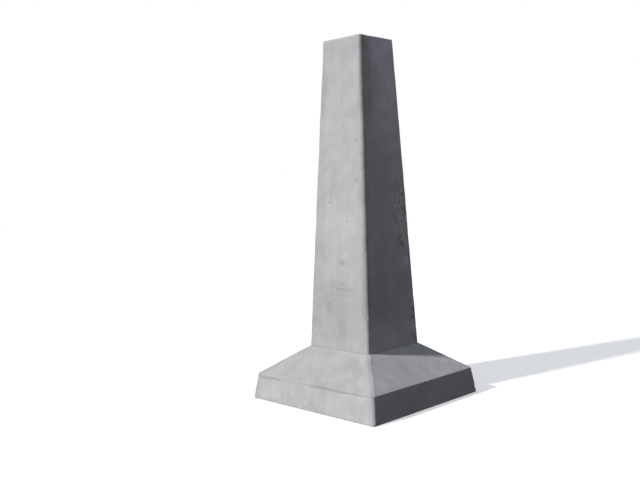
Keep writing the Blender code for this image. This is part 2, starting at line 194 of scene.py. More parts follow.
TONES_AND_PAINTED_LIGHT = (  # middle, reach and strength, as a share: below 0 is duller, above 0 is paler. Most are tone; the marked ones are painted light and shade
    # painted light: bounce light on the foot of the shaded -Y face
    ((0.000, -0.100, 0.150), (0.14, 0.025, 0.070), 0.20),
    ((0.050, -0.085, 0.330), (0.08, 0.025, 0.200), 0.08),
    ((0.075, -0.085, 0.420), (0.03, 0.030, 0.100), 0.14),
    # painted shade on the rim's shaded -Y face
    ((0.000, -0.203, 0.030), (0.24, 0.020, 0.034), -0.07),
    ((-0.080, 0.000, 0.520), (0.03, 0.110, 0.190), 0.055),
    ((-0.067, 0.000, 0.825), (0.03, 0.080, 0.055), 0.030),
    ((-0.205, -0.130, 0.030), (0.03, 0.110, 0.045), 0.08),
    ((-0.064, 0.000, 0.893), (0.03, 0.080, 0.020), 0.05),
    # painted shade: this entry and the next two darken the near arris and the shaded face beside it
    ((-0.087, -0.087, 0.380), (0.0135, 0.0135, 0.250), -0.13),
    ((-0.081, -0.079, 0.518), (0.020, 0.018, 0.045), -0.09),
    ((-0.052, -0.069, 0.800), (0.025, 0.012, 0.160), -0.20),
)
PAINTED_ARRIS_SHADE_WIDTH = 0.016  # how far from an arris the painted shade reaches, standing in for the light falling off round it
SLOPE_PAINTED_SHADE = 0.09  # painted shade: how much darker the slope is on its -X side, as a share
SLOPE_PAINTED_LIGHT = 0.085  # painted light: how much paler the slope is on the -Y side next to that one
PALE_TOP = 0.07  # how much of its painted shade the slope's -X side loses just under the shaft
PALE_TOP_HEIGHT = 0.008
SIDE_BLEND = 0.004  # how far to each side of an arris one side's tone turns into the next one's

# Colours
CONCRETE_DARK = (0.272, 0.267, 0.276)
CONCRETE_LIGHT = (0.312, 0.306, 0.311)
PASTE_PALE = (0.40, 0.395, 0.39)
LIME_PALE = (0.44, 0.445, 0.50)
FLECK_PALE = (0.47, 0.46, 0.50)
GAP_DARK = (0.13, 0.13, 0.14)
STAIN_AND_SHADOW_DULL = (0.218, 0.208, 0.206)
# painted shade inside the pinholes
PINHOLE_SHADE = (0.12, 0.12, 0.125)
# painted shade along the seam's groove
SEAM_PAINTED_SHADE = (0.15, 0.148, 0.15)
# dirt and painted shade in the joint round the shaft's foot
JOINT_DIRT_AND_SHADE = (0.12, 0.12, 0.122)
RUBBED_PALE = (0.37, 0.365, 0.365)
FRESH_CONCRETE = (0.31, 0.303, 0.295)
MILL_SCALE = (0.085, 0.075, 0.072)
RUST = (0.24, 0.105, 0.045)
ZINC_BRIGHT = (0.64, 0.64, 0.62)
ZINC_DULL = (0.42, 0.42, 0.41)
SPACER_GREY = (0.10, 0.105, 0.11)
SPACER_SCUFFED = (0.24, 0.24, 0.24)
SPACER_ROUGHNESS = 0.42
PLUG_BLACK = (0.022, 0.022, 0.024)
PLUG_SCUFFED = (0.15, 0.148, 0.142)
PLUG_ROUGHNESS = 0.4
FLOOR_GREY = (0.46, 0.46, 0.46)  # its glow makes it white

# Stage. The key light comes from the left of the camera.
CAMERA_PLACE = (-1.5039, -1.3291, 0.518)
CAMERA_TARGET = (-0.0802, 0.0709, 0.4014)
CAMERA_ROLL = radians(-1.42)
CAMERA_LENS = 44.38
TOWARDS_KEY = (-0.796, 0.203, 0.570)
KEY_STRENGTH = 5.3
KEY_WIDTH = radians(2.6)
KEY_COLOUR = (1.0, 0.985, 0.955)
TOWARDS_FILL = (0.05, 0.62, 0.78)  # the soft fill is brightest from here, and dimmest from opposite
FILL_BRIGHT = (0.47, 0.53, 0.62)
FILL_DIM = (0.04, 0.012, 0.0)
PANEL_PLACE = (0.38, -0.42, 1.0)
PANEL_TARGET = (0.05, -0.063, 0.86)
PANEL_SIZE = 0.25
PANEL_POWER = 0.45
PANEL_COLOUR = (0.80, 0.82, 1.0)
FLOOR_GLOW = 0.5
FLOOR_HALF = 12.0
FLOOR_Z = -0.0004

SHAFT_TAPER = (SHAFT_FOOT_HALF - SHAFT_HEAD_HALF) / (HEIGHT - SLOPE_TOP_Z)
ARRIS_INSET = ARRIS_RADIUS * (1 - sin(pi / 4))  # from a sharp corner to the middle of its rounding
SLOPE_ANGLE = radians(35.3)
SLOPE_STRETCH = 1 / sin(SLOPE_ANGLE)  # length along the slope for each unit of height

rng = random.Random(11)


def add(name, mesh, finish):
    obj = bpy.data.objects.new(name, mesh)
    bpy.context.scene.collection.objects.link(obj)
    mesh.materials.append(finish)
    return obj


# Skin of the concrete


def graded(count):
    """Shares of a length from 0 up to but not 1, closer together near both ends."""
    share = np.arange(count) / count
    return share - GRADING * np.sin(2 * pi * share) / (2 * pi)


def square_ring(half, radius, finer=1):
    """Plan of a square with rounded corners, as an array of (x, y)."""
    inner = half - radius
    arc = np.arange(ARC_COLUMNS * finer) / (ARC_COLUMNS * finer) * pi / 2
    flat = graded(FLAT_COLUMNS * finer)
    x = np.concatenate([inner + radius * np.cos(arc), inner - 2 * inner * flat])
    y = np.concatenate([inner + radius * np.sin(arc), np.full(len(flat), half)])
    turns = ((x, y), (-y, x), (-x, -y), (y, -x))
    return np.concatenate([np.column_stack(turn) for turn in turns])


def round_ring(square, radius):
    """The ring's points moved straight in or out to a circle."""
    return square * (radius / np.linalg.norm(square, axis=1))[:, None]


def fillet(before, corner, after, radius, steps):
    """Points of an arc that rounds the corner of a profile."""
    before, corner, after = Vector(before), Vector(corner), Vector(after)
    back, ahead = (before - corner).normalized(), (after - corner).normalized()
    half = back.angle(ahead) / 2
    middle = corner + (back + ahead).normalized() * (radius / sin(half))
    reach = radius * cos(half) / sin(half)
    first, last = corner + back * reach - middle, corner + ahead * reach - middle
    return [middle + first.lerp(last, i / steps).normalized() * radius for i in range(steps + 1)]


def between(start, end, count):
    """The points that part the line from start to end into count steps, without its ends."""
    start, end = Vector(start), Vector(end)
    return [start.lerp(end, i / count) for i in range(1, count)]


def foot_profile():
    """(half width, z) rows from the soffit's edge up to just under the shaft."""
    low, high = Vector((BASE_HALF, 0.0)), Vector((RIM_TOP_HALF, RIM_HEIGHT))
    top = Vector((SHAFT_FOOT_HALF, SLOPE_TOP_Z))
    sole = fillet((0.0, 0.0), low, high, SOLE_ROUNDING, 3)
    crease = fillet(low, high, top, CREASE_ROUNDING, 4)
    last = top + (high - top).normalized() * JOINT_HALF_WIDTH
    seam_foot = high + (low - high).normalized() * SEAM_BAND
    rim = between(sole[-1], seam_foot, RIM_ROWS) + [seam_foot] + between(seam_foot, crease[0], SEAM_ROWS)
    slope = between(crease[-1], last, SLOPE_ROWS)
    return sole + rim + crease + slope + [last]


def shaft_profile():
    """(half width, z) rows from the bottom of the joint's groove up to the head's rounded edge."""
    low, high = Vector((SHAFT_FOOT_HALF, SLOPE_TOP_Z)), Vector((SHAFT_HEAD_HALF, HEIGHT))
    groove = low - Vector((JOINT_DEPTH, JOINT_DEPTH / 2))
    first = low + (high - low).normalized() * JOINT_HALF_WIDTH
    head = fillet(low, high, (0.0, HEIGHT), HEAD_ROUNDING, 4)
    return [groove, first] + between(first, head[0], SHAFT_ROWS) + head


class Skin:
    """Rings of vertices and the faces that join them."""

    def __init__(self):
        self.points = []
        self.faces = []

    def ring(self, plan, z):
        start = len(self.points)
        self.points += [(x, y, z) for x, y in plan]
        return range(start, len(self.points))

    def join(self, lower, upper):
        """Faces between two rings. The upper one may have fewer points, by a whole number of times."""
        finer = len(lower) // len(upper)
        for i in range(len(upper)):
            j = (i + 1) % len(upper)
            below = [lower[(i * finer + k) % len(lower)] for k in range(finer + 1)]
            self.faces.append((*below, upper[j], upper[i]))

    def strip(self, rings):
        for lower, upper in zip(rings, rings[1:]):
            self.join(lower, upper)

    def close(self, ring):
        self.faces.append(tuple(ring))


def radius_at(half, z):
    """The arris radius of a ring, less what the rounded edges of soffit and head take off it."""
    if z < SOLE_ROUNDING:
        return ARRIS_RADIUS - max(0.0, BASE_HALF - half)
    if z > HEIGHT - 2 * HEAD_ROUNDING:
        shaft_half = SHAFT_HEAD_HALF + (HEIGHT - z) * SHAFT_TAPER
        return ARRIS_RADIUS - max(0.0, shaft_half - half)
    return ARRIS_RADIUS


def whole_skin():
    """The whole outside of the concrete, with the recess and the hole that the socket stands in."""
    skin = Skin()
    foot = foot_profile()
    sole_half, sole_z = foot[0]
    sole = square_ring(sole_half, radius_at(sole_half, sole_z), FINER)
    soffit = [skin.ring(sole * share, sole_z) for share in np.linspace(SOFFIT_CORE, 1, SOFFIT_ROWS)[:-1]]
    outside = [skin.ring(square_ring(half, radius_at(half, z), FINER), z) for half, z in foot]
    shaft = [skin.ring(square_ring(half, radius_at(half, z)), z) for half, z in shaft_profile()]
    head_half = shaft_profile()[-1][0]
    edge = square_ring(head_half, radius_at(head_half, HEIGHT))
    recess = round_ring(edge, RECESS_RADIUS)
    shares = np.linspace(0, 1, HEAD_ROWS + 1)[1:]
    head = [skin.ring(edge + (recess - edge) * share, HEIGHT) for share in shares]
    floor_z = HEIGHT - RECESS_DEPTH
    hole = round_ring(edge, SOCKET_HOLE_RADIUS)
    well = [skin.ring(recess, z) for z in (HEIGHT - RECESS_DEPTH / 2, floor_z)]
    well += [skin.ring(hole, z) for z in np.linspace(floor_z, SOCKET_HOLE_END, HOLE_ROWS)]
    skin.strip(soffit + outside + shaft + head + well)
    skin.close(soffit[0])
    skin.close(well[-1])
    return skin


# Wear of the concrete, and its painted light and shade


def field(points, scale, offset=0.0, octaves=3):
    """Smooth noise from 0 to 1 at each point. Its features are about 1 / scale metres wide."""
    shift = Vector((offset, offset, offset))
    values = [noise.fractal(Vector(p) * scale + shift, 0.8, 2.1, octaves) for p in points]
    return np.clip(0.5 + 0.5 * np.array(values), 0, 1)


def step(values, low, high):
    share = np.clip((values - low) / (high - low), 0, 1)
    return share * share * (3 - 2 * share)


def edge_distances(points):
    """Distance from the nearest arris or hip, from the rim's upper edge, and from head or sole."""
    plan = np.abs(points[:, :2])
    z = points[:, 2]
    across = plan.max(axis=1)
    on_side = (z > ON_FACE) & (z < HEIGHT - ON_FACE)
    upright = np.where(on_side, across - plan.min(axis=1), BASE_HALF)
    crease = np.where(z > RIM_HEIGHT, (z - RIM_HEIGHT) * SLOPE_STRETCH, RIM_HEIGHT - z)
    head = np.where(z > HEIGHT - ON_FACE, SHAFT_HEAD_HALF - across, HEIGHT - z)
    sole = np.where(z < ON_FACE, BASE_HALF - across, z)
    return upright, crease, np.minimum(head, sole)


def outline_edges():
    """The edges that chip: (start, end, chips, largest radius) for each arris, hip and level edge."""
    def corner(half, z):
        return Vector((half - ARRIS_INSET, half - ARRIS_INSET, z))

    base, rim = corner(BASE_HALF, 0), corner(RIM_TOP_HALF, RIM_HEIGHT)
    foot, head = corner(SHAFT_FOOT_HALF, SLOPE_TOP_Z), corner(SHAFT_HEAD_HALF, HEIGHT)
    edges = []
    for turn in range(4):
        here = Matrix.Rotation(turn * pi / 2, 3, "Z")
        there = Matrix.Rotation((turn + 1) * pi / 2, 3, "Z")
        edges += [
            (here @ base, here @ rim, 2, 0.006),
            (here @ rim, here @ foot, 1, 0.004),
            (here @ foot, here @ head, 5, 0.005),
            (here @ rim, there @ rim, 3, 0.005),
            (here @ head, there @ head, 2, 0.004),
            (here @ base, there @ base, 6, 0.008),
        ]
    return edges


def chips(points):
    """How deep each point is chipped, in metres."""
    depth = np.zeros(len(points))
    ragged = 1 + 0.5 * (field(points, 260, 3.0, 2) - 0.5)
    for start, end, count, largest in outline_edges():
        for _ in range(count):
            centre = np.array(start.lerp(end, rng.uniform(0.02, 0.98)))
            radius = largest * rng.uniform(0.35, 1.0) ** 1.5
            near = np.linalg.norm(points - centre, axis=1) * ragged / radius
            depth = np.maximum(depth, CHIP_DEPTH * radius * np.clip(1 - near * near, 0, 1))
    return depth


def patch(points, middle, reach, ragged):
    """1 in the middle of an ellipsoid, and 0 outside it. Ragged, from 0 to 1, moves its edge."""
    away = np.linalg.norm((points - np.array(middle)) / np.array(reach), axis=1)
    return step(1.3 - away - 0.6 * ragged, 0.0, 0.6)


def on_slope(points):
    z = points[:, 2]
    return step(z, RIM_HEIGHT - 0.003, RIM_HEIGHT + 0.001) * (z < SLOPE_TOP_Z)


def tone_and_painted_light(points, ragged):
    """Broad differences of tone, and painted light and shade, as a share: below 0 is duller, above 0 is
    paler.
    """
    x, y, z = points.T
    towards_y = step(np.abs(x) - np.abs(y), SIDE_BLEND, -SIDE_BLEND) * (y < 0)
    towards_x = step(np.abs(x) - np.abs(y), -SIDE_BLEND, SIDE_BLEND) * (x < 0)
    top = np.clip(1 - (SLOPE_TOP_Z - z) / PALE_TOP_HEIGHT, 0, 1)
    # painted light on the slope's -Y side and painted shade on its -X side
    total = on_slope(points) * (SLOPE_PAINTED_LIGHT * towards_y - (SLOPE_PAINTED_SHADE - PALE_TOP * top) * towards_x)
    for middle, reach, strength in TONES_AND_PAINTED_LIGHT:
        total += strength * patch(points, middle, reach, 0.5 * ragged)
    return total


def form_seam(points):
    """The wavering groove that the form's seam left under the rim's upper edge, 1 in its middle."""
    x, y, z = points.T
    waver = SEAM_WAVER * (field(points * (1, 1, 0), 16.0, 12.0, 4) - 0.5)
    middle = SEAM_Z - SEAM_RISE * (x + y) / (2 * BASE_HALF) + waver
    opened = np.max([patch(points, *place, 0.3) for place in SEAM_OPEN], axis=0)
    line = np.exp(-(((z - middle) / SEAM_HALF_WIDTH) ** 2))
    return line * (0.15 + 0.85 * opened) * (z < RIM_HEIGHT + 0.002)


def dents(points):
    depth = np.zeros(len(points))
    for middle, radius, deepest in DENTS:
        near = np.linalg.norm(points - np.array(middle), axis=1) / radius
        depth = np.maximum(depth, deepest * np.clip(1 - near * near, 0, 1))
    return depth


def wear_and_painted_light(points):
    """How far each point sinks below the formed face, and the strength of each kind of wear and of painted
    light and shade there.
    """
    upright, crease, end = edge_distances(points)
    level = np.minimum(crease, end)
    ragged = field(points, 45, 9.0, 3)
    near_edge = np.exp(-np.minimum(upright / RUBBED_ARRIS, end / RUBBED_END) ** 2)
    rubbed = near_edge * step(field(points, 14, 5.0), 0.35, 0.8)
    seam = form_seam(points)
    broken = chips(points)
    pits = np.max([patch(points, middle, reach, ragged) for middle, reach in PITTED], axis=0)
    pits *= step(np.minimum(upright, level), 0.001, 0.005)
    lumps = field(points, 120, 4.0, 2)
    wave = np.sin(2 * pi * points[:, 2] / RIPPLE_PITCH + 3 * ragged)
    ripples = patch(points, *RIPPLED, ragged) * (0.5 + 0.5 * wave)
    sink = WARP_DEPTH * field(points, 6, 1.0, 2) + UNEVEN_DEPTH * field(points, 70, 2.0, 2)
    sink += RUBBED_DEPTH * rubbed + PITTED_DEPTH * pits * lumps
    sink += SEAM_DEPTH * seam + RIPPLE_DEPTH * ripples + dents(points)
    head = step(points[:, 2], HEIGHT - 0.0005, HEIGHT) * step(level, 0.002, 0.006)
    sink += head * TROWEL_DEPTH * field(points, 38, 7.0, 3)
    marks = [patch(points, *mark[:2], ragged) * mark[2] for mark in STAINS_AND_PAINTED_SHADOW]
    stain_and_painted_shadow = np.max(marks + [RIPPLE_STAIN * ripples], axis=0)
    strengths = {
        "broken": np.clip(broken / BROKEN_DEPTH, 0, 1),
        "rubbed": rubbed,
        "pitted": pits,
        "flecked": np.max([patch(points, *place, ragged) for place in FLECKED], axis=0),
        "seam": seam,
        "slope": on_slope(points),
        "stain_and_painted_shadow": stain_and_painted_shadow,
        "bloom": patch(points, BLOOM_MIDDLE, BLOOM_REACH, 0.5 * ragged),
        # painted shade near the arrises
        "painted_arris_shade": np.exp(-((upright / PAINTED_ARRIS_SHADE_WIDTH) ** 2)),
        "tone_and_painted_light": tone_and_painted_light(points, ragged),
    }
    return sink + broken, strengths


def sound_skin(points):
    """True where the skin may sink, which is everywhere but in the socket's recess and hole."""
    reach = np.linalg.norm(points[:, :2], axis=1)
    in_well = (reach < RECESS_RADIUS + 0.0005) & (points[:, 2] > SOCKET_HOLE_END - 0.001)
    return ~in_well


def set_attribute(mesh, name, values):
    mesh.attributes.new(name, "FLOAT", "POINT").data.foreach_set("value", values.astype(np.float32))


def pore_faces(mesh):
    """Faces that get a pore: many on the slope and rim, where air is trapped under the form."""
    chosen, used = [], set()
    faces = list(mesh.polygons)
    rng.shuffle(faces)
    for face in faces:
        if len(chosen) == PORES:
            break
        if len(face.vertices) != 4 or used & set(face.vertices):
            continue
        z = face.center.z
        upright, crease, _ = edge_distances(np.array([face.center]))
        if z < PORE_FREE_SOLE or z > HEIGHT - PORE_FREE_HEAD or upright[0] < PORE_FREE_ARRIS:
            continue
        if crease[0] < PORE_FREE_CREASE or -SEAM_BAND < z - RIM_HEIGHT < 0:
            continue
        if abs(z - SLOPE_TOP_Z) < PORE_FREE_JOINT:
            continue
        crowd = 0.5 + 0.5 * noise.noise(Vector(face.center) * PORE_CROWDS)
        keep = crowd ** 2 * (PORES_ON_FOOT if z < SLOPE_TOP_Z else PORES_ON_SHAFT)
        if rng.random() < keep:
            chosen.append(face.index)
            used |= set(face.vertices)
    return chosen


def sink_pore(bm, face, size, depth):
    """Replaces a four-sided face with a round pit of eight sides."""
    corners = list(face.verts)
    middle = face.calc_center_median()
    normal = face.normal.copy()
    across = (corners[1].co + corners[2].co - corners[0].co - corners[3].co).normalized()
    upwards = normal.cross(across)
    bm.faces.remove(face)
    rings = []
    for share, sunk in ((1.0, 0.0), (0.72, 0.55), (0.35, 1.0)):
        ring = []
        for k in range(8):
            angle = (k + 0.5) * pi / 4 - pi
            out = across * cos(angle) + upwards * sin(angle)
            ring.append(bm.verts.new(middle + out * size * share - normal * depth * sunk))
        rings.append(ring)
    outer = rings[0]
    for i, corner in enumerate(corners):
        nearest = min(range(8), key=lambda k: (outer[k].co - corner.co).length)
        following = corners[(i + 1) % 4]
        ahead = min(range(8), key=lambda k: (outer[k].co - following.co).length)
        run = [outer[(nearest + k) % 8] for k in range((ahead - nearest) % 8 + 1)]
        bm.faces.new([corner, following, *reversed(run)])
    for ring, inner in zip(rings, rings[1:]):
        for k in range(8):
            j = (k + 1) % 8
            bm.faces.new((ring[k], ring[j], inner[j], inner[k]))
    bm.faces.new(rings[-1])


def concrete_mesh():
    """The worn skin of the concrete, with attributes that its material reads."""
    skin = whole_skin()
    mesh = bpy.data.meshes.new("concrete")
    mesh.from_pydata(skin.points, [], skin.faces)
    bm = bmesh.new()
    bm.from_mesh(mesh)
    bmesh.ops.recalc_face_normals(bm, faces=bm.faces)
    bm.to_mesh(mesh)
    bm.free()
    count = len(mesh.vertices)
    points, normals = np.empty(count * 3), np.empty(count * 3)
    mesh.vertices.foreach_get("co", points)
    mesh.vertices.foreach_get("normal", normals)
    points, normals = points.reshape(-1, 3), normals.reshape(-1, 3)
    sink, strengths = wear_and_painted_light(points)
    sound = sound_skin(points)
    moved = points - normals * (sink * sound)[:, None]
    soffit = points[:, 2] < ON_FACE
    moved[soffit, 2] = SOFFIT_LIFT * (0.4 + 0.6 * np.clip(sink[soffit] / 0.0008, 0, 1))
    mesh.vertices.foreach_set("co", moved.ravel())
    for name, strength in strengths.items():
        set_attribute(mesh, name, strength * sound)
    mesh.update()
    chosen = pore_faces(mesh)
    bm = bmesh.new()
    bm.from_mesh(mesh)
    bm.faces.ensure_lookup_table()
    for face in [bm.faces[index] for index in chosen]:
        room = min(edge.calc_length() for edge in face.edges) / 2
        size = room * rng.uniform(0.45, 0.92)
        sink_pore(bm, face, size, size * rng.uniform(0.5, 0.9))
    bmesh.ops.recalc_face_normals(bm, faces=bm.faces)
    bm.to_mesh(mesh)
    bm.free()
    mesh.shade_smooth()
    mesh.set_sharp_from_angle(angle=CONCRETE_SHARP)
    return mesh


# Materials


def colour_mix(nodes, links, share, first, second):
    """The output of a Mix node, whose inputs are sockets or values."""
    node = nodes.new("ShaderNodeMix")
    node.data_type = "RGBA"
    ends = [socket for socket in node.inputs if socket.type == "RGBA"]
    for socket, value in zip((node.inputs["Factor"], *ends), (share, first, second)):
        if isinstance(value, bpy.types.NodeSocket):
            links.new(value, socket)
        else:
            socket.default_value = value
    return [socket for socket in node.outputs if socket.type == "RGBA"][0]


class Tree:
    """Short calls for the nodes of one material."""

    def __init__(self, name):
        self.material = bpy.data.materials.new(name)
        self.material.use_nodes = True
        self.nodes = self.material.node_tree.nodes
        self.links = self.material.node_tree.links
        self.shader = self.nodes["Principled BSDF"]
        self.place = self.nodes.new("ShaderNodeTexCoord").outputs["Object"]

    def put(self, socket, value):
        if isinstance(value, bpy.types.NodeSocket):
            self.links.new(value, socket)
        else:
            socket.default_value = value

    def math(self, operation, first, second=0.0):
        node = self.nodes.new("ShaderNodeMath")
        node.operation = operation
        self.put(node.inputs[0], first)
        self.put(node.inputs[1], second)
        return node.outputs[0]

    def stretched(self, scale):
        node = self.nodes.new("ShaderNodeVectorMath")
        node.operation = "MULTIPLY"
        self.put(node.inputs[0], self.place)
        self.put(node.inputs[1], scale)
        return node.outputs[0]

    def noise(self, scale, detail=3.0, rough=0.55, place=None):
        node = self.nodes.new("ShaderNodeTexNoise")
        self.put(node.inputs["Vector"], place or self.place)
        self.put(node.inputs["Scale"], scale)
        self.put(node.inputs["Detail"], detail)
        self.put(node.inputs["Roughness"], rough)
        return node.outputs["Fac"]

    def cells(self, scale):
        """Distance to the nearest of scattered points, in cell widths."""
        node = self.nodes.new("ShaderNodeTexVoronoi")
        self.put(node.inputs["Vector"], self.place)
        self.put(node.inputs["Scale"], scale)
        return node.outputs["Distance"]

    def step(self, value, low, high, to_low=0.0, to_high=1.0):
        node = self.nodes.new("ShaderNodeMapRange")
        node.interpolation_type = "SMOOTHSTEP"
        for socket, number in zip(node.inputs, (value, low, high, to_low, to_high)):
            self.put(socket, number)
        return node.outputs["Result"]

    def mix(self, share, first, second):
        ends = [(*end, 1.0) if isinstance(end, tuple) else end for end in (first, second)]
        return colour_mix(self.nodes, self.links, share, *ends)

    def shade(self, colour, factor):
        """The colour multiplied by a factor."""
        node = self.nodes.new("ShaderNodeVectorMath")
        node.operation = "SCALE"
        self.put(node.inputs[0], colour)
        self.put(node.inputs["Scale"], factor)
        return node.outputs[0]

    def attribute(self, name):
        node = self.nodes.new("ShaderNodeAttribute")
        node.attribute_name = name
        return node.outputs["Fac"]

    def height(self):
        node = self.nodes.new("ShaderNodeSeparateXYZ")
        self.put(node.inputs[0], self.place)
        return node.outputs["Z"]

    def bump(self, height, distance, strength=1.0, normal=None):
        node = self.nodes.new("ShaderNodeBump")
        self.put(node.inputs["Height"], height)
        self.put(node.inputs["Distance"], distance)
        self.put(node.inputs["Strength"], strength)
        if normal:
            self.put(node.inputs["Normal"], normal)
        return node.outputs["Normal"]

    def finish(self, colour, roughness, metallic=0.0, normal=None):
        self.put(self.shader.inputs["Base Color"], colour)
        self.put(self.shader.inputs["Roughness"], roughness)
        self.put(self.shader.inputs["Metallic"], metallic)
        if normal:
            self.put(self.shader.inputs["Normal"], normal)
        return self.material


def formed_colour(t, grain):
    """The grey of the formed faces: clouds, faint streaks and sand, crumbly where worn, and with painted
    shade near arrises and painted light and shade in patches.
    """
    clouds = t.step(t.noise(5.0, 4.0), 0.32, 0.68)
    colour = t.mix(clouds, CONCRETE_DARK, CONCRETE_LIGHT)
    streaks = t.step(t.noise(1.0, 3.0, 0.5, t.stretched((60.0, 60.0, 2.6))), 0.35, 0.75, 0.02, -0.05)
    streaks = t.math("MULTIPLY", streaks, t.math("SUBTRACT", 1.0, t.attribute("slope")))
    streaks = t.math("ADD", streaks, 1.0)
    mottle = t.step(t.noise(26.0, 3.0, 0.5), 0.25, 0.75, 0.93, 1.06)
    speck = t.step(grain, 0.3, 0.7, 0.93, 1.06)
    crumbs = t.step(t.noise(190.0, 3.0, 0.6), 0.38, 0.62, -0.13, 0.09)
    blotches = t.step(t.noise(34.0, 4.0, 0.6), 0.35, 0.65, -0.04, 0.04)
    worn_and_painted_light = t.math("ADD", t.math("MULTIPLY", t.attribute("pitted"), crumbs), 1.0)
    worn_and_painted_light = t.math("ADD", worn_and_painted_light, t.math("MULTIPLY", t.attribute("slope"), blotches))
    # painted shade: darker near the arrises
    worn_and_painted_light = t.math("SUBTRACT", worn_and_painted_light, t.math("MULTIPLY", t.attribute("painted_arris_shade"), 0.10))
    # tone, and painted light and shade in patches and on the slope
    worn_and_painted_light = t.math("ADD", worn_and_painted_light, t.attribute("tone_and_painted_light"))
    return t.shade(t.shade(t.shade(t.shade(colour, streaks), mottle), speck), worn_and_painted_light)


def marked_colour(t, colour, holes):
    """The grey under its marks: paste, lime, flecks, stains and one painted shadow, pinholes with painted
    shade, painted shade in the seam, dirt and painted shade in the joint, and worn edges.
    """
    pale = t.math("MULTIPLY", t.step(t.noise(17.0, 5.0, 0.65), 0.60, 0.74), 0.3)
    colour = t.mix(pale, colour, PASTE_PALE)
    lime = t.step(t.noise(21.0, 4.0), 0.3, 0.7, 0.25, 0.7)
    colour = t.mix(t.math("MULTIPLY", t.attribute("bloom"), lime), colour, LIME_PALE)
    flecks = t.step(t.noise(75.0, 3.0, 0.6), 0.50, 0.60, 0.0, 0.75)
    colour = t.mix(t.math("MULTIPLY", t.attribute("flecked"), flecks), colour, FLECK_PALE)
    gaps = t.step(t.noise(62.0, 3.0, 0.6), 0.38, 0.47, 0.75, 0.0)
    colour = t.mix(t.math("MULTIPLY", t.attribute("flecked"), gaps), colour, GAP_DARK)
    runs = t.step(t.noise(1.0, 3.0, 0.5, t.stretched((110.0, 110.0, 16.0))), 0.38, 0.64, 0.60, 1.0)
    # stains, and a painted shadow in one dent
    colour = t.mix(t.math("MULTIPLY", t.attribute("stain_and_painted_shadow"), runs), colour, STAIN_AND_SHADOW_DULL)
    # painted shade in the pinholes, which are only a bump
    colour = t.mix(t.math("MULTIPLY", holes, 0.7), colour, PINHOLE_SHADE)
    # painted shade along the seam's groove
    colour = t.mix(t.math("MULTIPLY", t.attribute("seam"), 0.52), colour, SEAM_PAINTED_SHADE)
    # dirt and painted shade in the joint's groove
    colour = t.mix(joint_dirt_and_shade(t), colour, JOINT_DIRT_AND_SHADE)
    colour = t.mix(t.math("MULTIPLY", t.attribute("rubbed"), 0.3), colour, RUBBED_PALE)
    fresh = t.shade(FRESH_CONCRETE, t.step(t.cells(210.0), 0.25, 0.5, 0.8, 1.12))
    return t.mix(t.math("MULTIPLY", t.attribute("broken"), 0.7), colour, fresh)


def concrete_material():
    """Formed grey concrete, with the wear and the painted light and shade that the skin's attributes place
    on it.
    """
    t = Tree("concrete")
    grain = t.noise(650.0, 2.0, 0.6)
    holes = t.step(t.cells(85.0), 0.055, 0.12, 1.0, 0.0)
    holes = t.math("MULTIPLY", holes, t.step(t.noise(13.0, 2.0), 0.45, 0.62))
    colour = marked_colour(t, formed_colour(t, grain), holes)
    rough = t.step(t.noise(40.0, 3.0), 0.3, 0.7, 0.78, 0.93)
    normal = t.bump(grain, 0.0003, 0.6)
    normal = t.bump(t.noise(130.0, 3.0), 0.0008, 0.35, normal)
    sunk = t.math("MULTIPLY", holes, -1.0)
    return t.finish(colour, rough, 0.0, t.bump(sunk, 0.0009, 0.7, normal))


def joint_dirt_and_shade(t):
    """Dirt and painted shade in and beside the groove round the shaft's foot, thicker in some stretches
    than in others.
    """
    away = t.math("ABSOLUTE", t.math("SUBTRACT", t.height(), SLOPE_TOP_Z))
    near = t.step(away, 0.0002, 0.0030, 1.0, 0.0)
    return t.math("MULTIPLY", near, t.step(t.noise(22.0, 3.0), 0.35, 0.65, 0.05, 0.32))


def rebar_material():
    """Mill scale with rust coming through."""
    t = Tree("rebar_steel")
    rust = t.step(t.noise(60.0, 6.0, 0.7), 0.40, 0.62)
    colour = t.mix(rust, MILL_SCALE, RUST)
    colour = t.shade(colour, t.step(t.noise(420.0, 2.0), 0.3, 0.7, 0.8, 1.2))
    rough = t.step(rust, 0.0, 1.0, 0.5, 0.88)
    metal = t.step(rust, 0.0, 1.0, 0.75, 0.08)
    grain = t.bump(t.noise(500.0, 3.0), 0.0003, 0.6)
    return t.finish(colour, rough, metal, t.bump(slanted_ribs(t), 0.0005, 1.0, grain))


def slanted_ribs(t):
    """Bands across a bar along any axis. They slant, because they also climb across the bar's width."""
    along = t.nodes.new("ShaderNodeVectorMath")
    along.operation = "DOT_PRODUCT"
    t.put(along.inputs[0], t.place)
    t.put(along.inputs[1], (1.0, 1.0, 1.0))
    turns = t.math("MULTIPLY", along.outputs["Value"], 2 * pi / RIB_PITCH)
    return t.step(t.math("SINE", turns), 0.1, 0.8)


def zinc_material():
    """Plated steel with a faint spangle and duller patches."""
    t = Tree("zinc_plated_steel")
    spangle = t.step(t.cells(260.0), 0.1, 0.7, 0.9, 1.1)
    dull = t.step(t.noise(90.0, 4.0), 0.4, 0.7)
    colour = t.shade(t.mix(dull, ZINC_BRIGHT, ZINC_DULL), spangle)
    rough = t.step(dull, 0.0, 1.0, 0.28, 0.55)
    return t.finish(colour, rough, 0.95, t.bump(t.noise(700.0, 2.0), 0.0001, 0.4))


